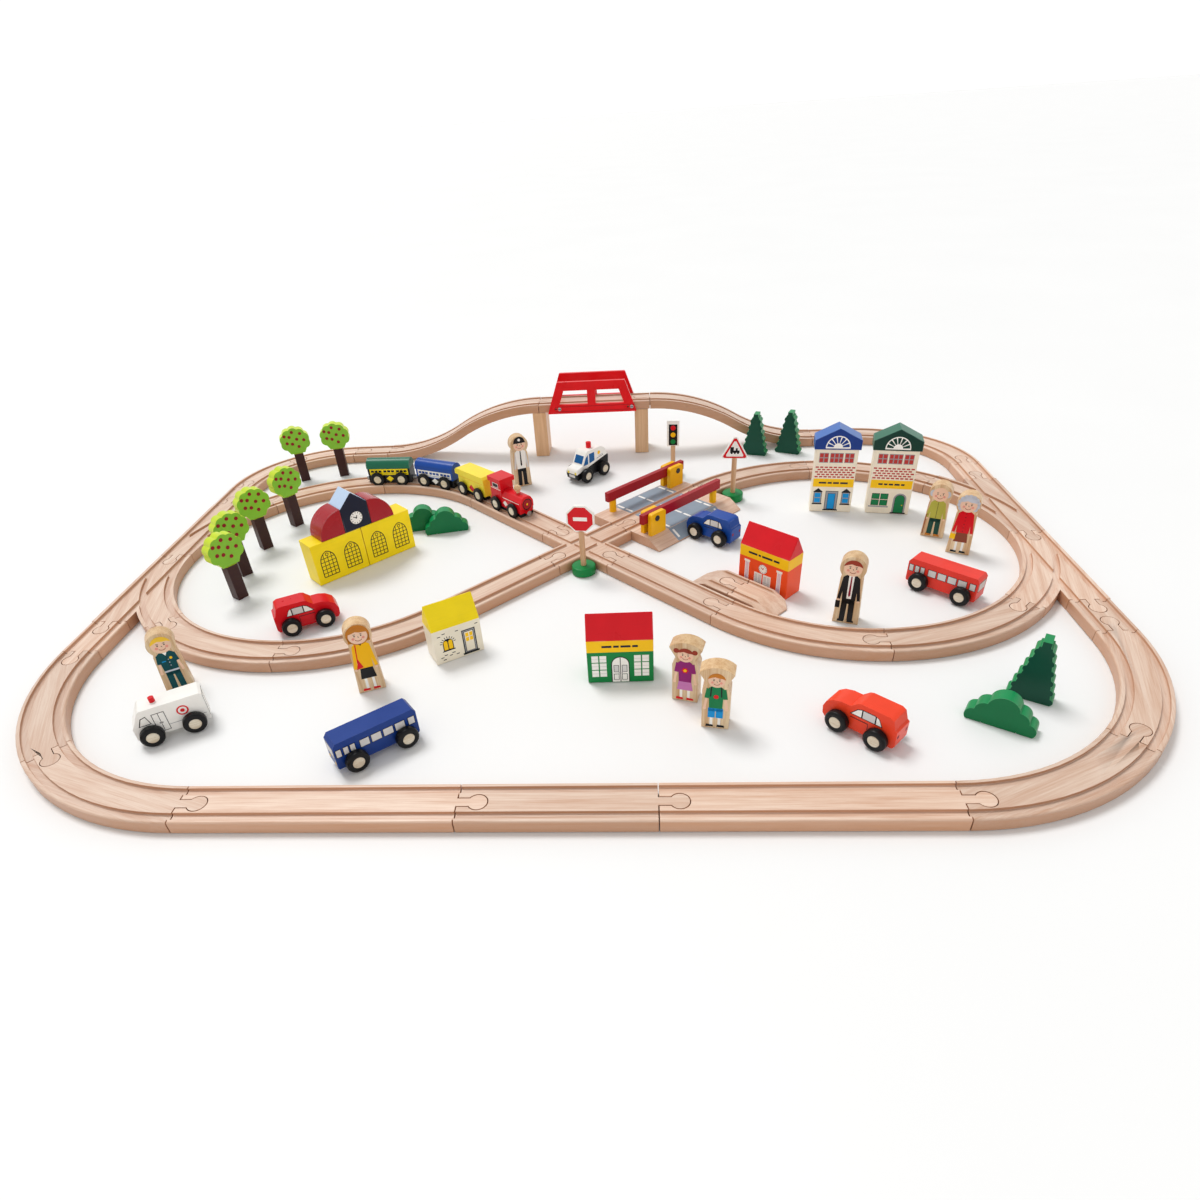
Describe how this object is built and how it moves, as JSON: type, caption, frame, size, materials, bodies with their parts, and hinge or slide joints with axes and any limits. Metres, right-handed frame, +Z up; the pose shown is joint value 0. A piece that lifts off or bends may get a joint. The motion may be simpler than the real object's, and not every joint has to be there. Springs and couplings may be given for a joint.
{
  "type": "wooden train set",
  "caption": "Wooden railway layout: oval of grooved track around a figure of eight, raised bridge, level crossing, coupled train, road vehicles, buildings, trees, signs and figures.",
  "frame": {"origin": "middle of the whole layout's base, on the surface it stands on", "axes": "+X along the long sides, to the right seen from the front row; +Y from the front row towards the bridge; +Z up"},
  "size_m": [1.0636, 0.7968, 0.112],
  "materials": {
    "beech": "fine-grained, smooth, clear-lacquered beech",
    "pale_wood": "plain sanded light wood",
    "red_paint": "satin paint on wood",
    "dark_red_paint": "satin paint on wood",
    "orange_paint": "satin paint on wood",
    "yellow_paint": "satin paint on wood",
    "blue_paint": "satin paint on wood",
    "navy_paint": "satin paint on wood",
    "pale_blue_paint": "satin paint on wood",
    "green_paint": "satin paint on wood",
    "dark_green_paint": "satin paint on wood",
    "lime_paint": "satin paint on wood",
    "brown_paint": "stained dark wood",
    "cream_paint": "satin paint on wood",
    "white_paint": "satin paint on wood",
    "black_paint": "satin paint on wood",
    "grey_paint": "satin paint on wood",
    "print_ink": "thin printed colours on wood",
    "wheel_black": "moulded, semi-gloss",
    "hub_wood": "turned, sanded wood",
    "bolt_metal": "dark metal"
  },
  "bodies": {
    "layout": {"straights_long": "beech", "straights_medium": "beech", "straights_short": "beech", "large_curves": "beech", "small_curves": "beech", "switches": "beech", "crossing": "beech", "ascending_tracks": "beech", "bridge_deck": "beech", "bridge_posts": "pale_wood", "bridge_panels": "red_paint", "level_crossing_base": "beech", "gate_posts": "yellow_paint", "gate_bolts": "bolt_metal", "station_ramps": "beech", "apple_trees": "lime_paint", "evergreens": "green_paint", "signs": "green_paint", "people": "pale_wood", "school": "green_paint", "house": "cream_paint", "post_office": "cream_paint", "bank": "cream_paint", "train_station": "orange_paint", "engine_shed": "yellow_paint", "engine": "red_paint", "tender": "yellow_paint", "blue_coach": "blue_paint", "green_coach": "dark_green_paint", "red_car": "red_paint", "orange_car": "orange_paint", "blue_car": "blue_paint", "police_car": "white_paint", "ambulance": "white_paint", "blue_bus": "blue_paint", "red_bus": "orange_paint"},
    "engine_front_wheels": {"engine_front_wheels": "wheel_black"},
    "engine_rear_wheels": {"engine_rear_wheels": "wheel_black"},
    "tender_front_wheels": {"tender_front_wheels": "wheel_black"},
    "tender_rear_wheels": {"tender_rear_wheels": "wheel_black"},
    "blue_coach_front_wheels": {"blue_coach_front_wheels": "wheel_black"},
    "blue_coach_rear_wheels": {"blue_coach_rear_wheels": "wheel_black"},
    "green_coach_front_wheels": {"green_coach_front_wheels": "wheel_black"},
    "green_coach_rear_wheels": {"green_coach_rear_wheels": "wheel_black"},
    "red_car_front_wheels": {"red_car_front_wheels": "wheel_black"},
    "red_car_rear_wheels": {"red_car_rear_wheels": "wheel_black"},
    "orange_car_front_wheels": {"orange_car_front_wheels": "wheel_black"},
    "orange_car_rear_wheels": {"orange_car_rear_wheels": "wheel_black"},
    "blue_car_front_wheels": {"blue_car_front_wheels": "wheel_black"},
    "blue_car_rear_wheels": {"blue_car_rear_wheels": "wheel_black"},
    "police_car_front_wheels": {"police_car_front_wheels": "wheel_black"},
    "police_car_rear_wheels": {"police_car_rear_wheels": "wheel_black"},
    "ambulance_front_wheels": {"ambulance_front_wheels": "wheel_black"},
    "ambulance_rear_wheels": {"ambulance_rear_wheels": "wheel_black"},
    "blue_bus_front_wheels": {"blue_bus_front_wheels": "wheel_black"},
    "blue_bus_rear_wheels": {"blue_bus_rear_wheels": "wheel_black"},
    "red_bus_front_wheels": {"red_bus_front_wheels": "wheel_black"},
    "red_bus_rear_wheels": {"red_bus_rear_wheels": "wheel_black"},
    "left_barrier": {"left_barrier": "dark_red_paint"},
    "right_barrier": {"right_barrier": "dark_red_paint"}
  },
  "joints": [
    {"name": "engine_front_axle", "type": "hinge", "parent": "layout", "child": "engine_front_wheels", "pos_m": [-0.08945, 0.12795, 0.0191], "axis": [0.7071, 0.7071, 0], "continuous": true},
    {"name": "engine_rear_axle", "type": "hinge", "parent": "layout", "child": "engine_rear_wheels", "pos_m": [-0.1142, 0.1527, 0.0191], "axis": [0.7071, 0.7071, 0], "continuous": true},
    {"name": "tender_front_axle", "type": "hinge", "parent": "layout", "child": "tender_front_wheels", "pos_m": [-0.14266, 0.18079, 0.0191], "axis": [0.6834, 0.7301, 0], "continuous": true},
    {"name": "tender_rear_axle", "type": "hinge", "parent": "layout", "child": "tender_rear_wheels", "pos_m": [-0.16821, 0.2047, 0.0191], "axis": [0.6834, 0.7301, 0], "continuous": true},
    {"name": "blue_coach_front_axle", "type": "hinge", "parent": "layout", "child": "blue_coach_front_wheels", "pos_m": [-0.20168, 0.22642, 0.0191], "axis": [0.3881, 0.9216, 0], "continuous": true},
    {"name": "blue_coach_rear_axle", "type": "hinge", "parent": "layout", "child": "blue_coach_rear_wheels", "pos_m": [-0.23394, 0.24001, 0.0191], "axis": [0.3881, 0.9216, 0], "continuous": true},
    {"name": "green_coach_front_axle", "type": "hinge", "parent": "layout", "child": "green_coach_front_wheels", "pos_m": [-0.27286, 0.24878, 0.0191], "axis": [0.0448, 0.999, 0], "continuous": true},
    {"name": "green_coach_rear_axle", "type": "hinge", "parent": "layout", "child": "green_coach_rear_wheels", "pos_m": [-0.30783, 0.25035, 0.0191], "axis": [0.0448, 0.999, 0], "continuous": true},
    {"name": "red_car_front_axle", "type": "hinge", "parent": "layout", "child": "red_car_front_wheels", "pos_m": [-0.27779, -0.09802, 0.01], "axis": [-0.4848, 0.8746, 0], "continuous": true},
    {"name": "red_car_rear_axle", "type": "hinge", "parent": "layout", "child": "red_car_rear_wheels", "pos_m": [-0.30841, -0.11498, 0.01], "axis": [-0.4848, 0.8746, 0], "continuous": true},
    {"name": "orange_car_front_axle", "type": "hinge", "parent": "layout", "child": "orange_car_front_wheels", "pos_m": [0.2374, -0.27687, 0.01], "axis": [-0.682, -0.7314, 0], "continuous": true},
    {"name": "orange_car_rear_axle", "type": "hinge", "parent": "layout", "child": "orange_car_rear_wheels", "pos_m": [0.263, -0.30073, 0.01], "axis": [-0.682, -0.7314, 0], "continuous": true},
    {"name": "blue_car_front_axle", "type": "hinge", "parent": "layout", "child": "blue_car_front_wheels", "pos_m": [0.14159, 0.07725, 0.01], "axis": [-0.6428, -0.766, 0], "continuous": true},
    {"name": "blue_car_rear_axle", "type": "hinge", "parent": "layout", "child": "blue_car_rear_wheels", "pos_m": [0.16841, 0.05475, 0.01], "axis": [-0.6428, -0.766, 0], "continuous": true},
    {"name": "police_car_front_axle", "type": "hinge", "parent": "layout", "child": "police_car_front_wheels", "pos_m": [-0.01948, 0.25629, 0.01], "axis": [0.7547, -0.6561, 0], "continuous": true},
    {"name": "police_car_rear_axle", "type": "hinge", "parent": "layout", "child": "police_car_rear_wheels", "pos_m": [0.00348, 0.28271, 0.01], "axis": [0.7547, -0.6561, 0], "continuous": true},
    {"name": "ambulance_front_axle", "type": "hinge", "parent": "layout", "child": "ambulance_front_wheels", "pos_m": [-0.372, -0.28401, 0.01], "axis": [0.515, -0.8572, 0], "continuous": true},
    {"name": "ambulance_rear_axle", "type": "hinge", "parent": "layout", "child": "ambulance_rear_wheels", "pos_m": [-0.342, -0.26599, 0.01], "axis": [0.515, -0.8572, 0], "continuous": true},
    {"name": "blue_bus_front_axle", "type": "hinge", "parent": "layout", "child": "blue_bus_front_wheels", "pos_m": [-0.17899, -0.31866, 0.01], "axis": [0.6293, -0.7771, 0], "continuous": true},
    {"name": "blue_bus_rear_axle", "type": "hinge", "parent": "layout", "child": "blue_bus_rear_wheels", "pos_m": [-0.14401, -0.29034, 0.01], "axis": [0.6293, -0.7771, 0], "continuous": true},
    {"name": "red_bus_front_axle", "type": "hinge", "parent": "layout", "child": "red_bus_front_wheels", "pos_m": [0.36804, -0.05615, 0.01], "axis": [-0.682, -0.7314, 0], "continuous": true},
    {"name": "red_bus_rear_axle", "type": "hinge", "parent": "layout", "child": "red_bus_rear_wheels", "pos_m": [0.40096, -0.08685, 0.01], "axis": [-0.682, -0.7314, 0], "continuous": true},
    {"name": "left_barrier_pivot", "type": "hinge", "parent": "layout", "child": "left_barrier", "pos_m": [0.0799, 0.06325, 0.033], "axis": [0.7071, -0.7071, 0], "range_deg": [0, 90]},
    {"name": "right_barrier_pivot", "type": "hinge", "parent": "layout", "child": "right_barrier", "pos_m": [0.11102, 0.20467, 0.033], "axis": [-0.7071, 0.7071, 0], "range_deg": [0, 90]}
  ]
}
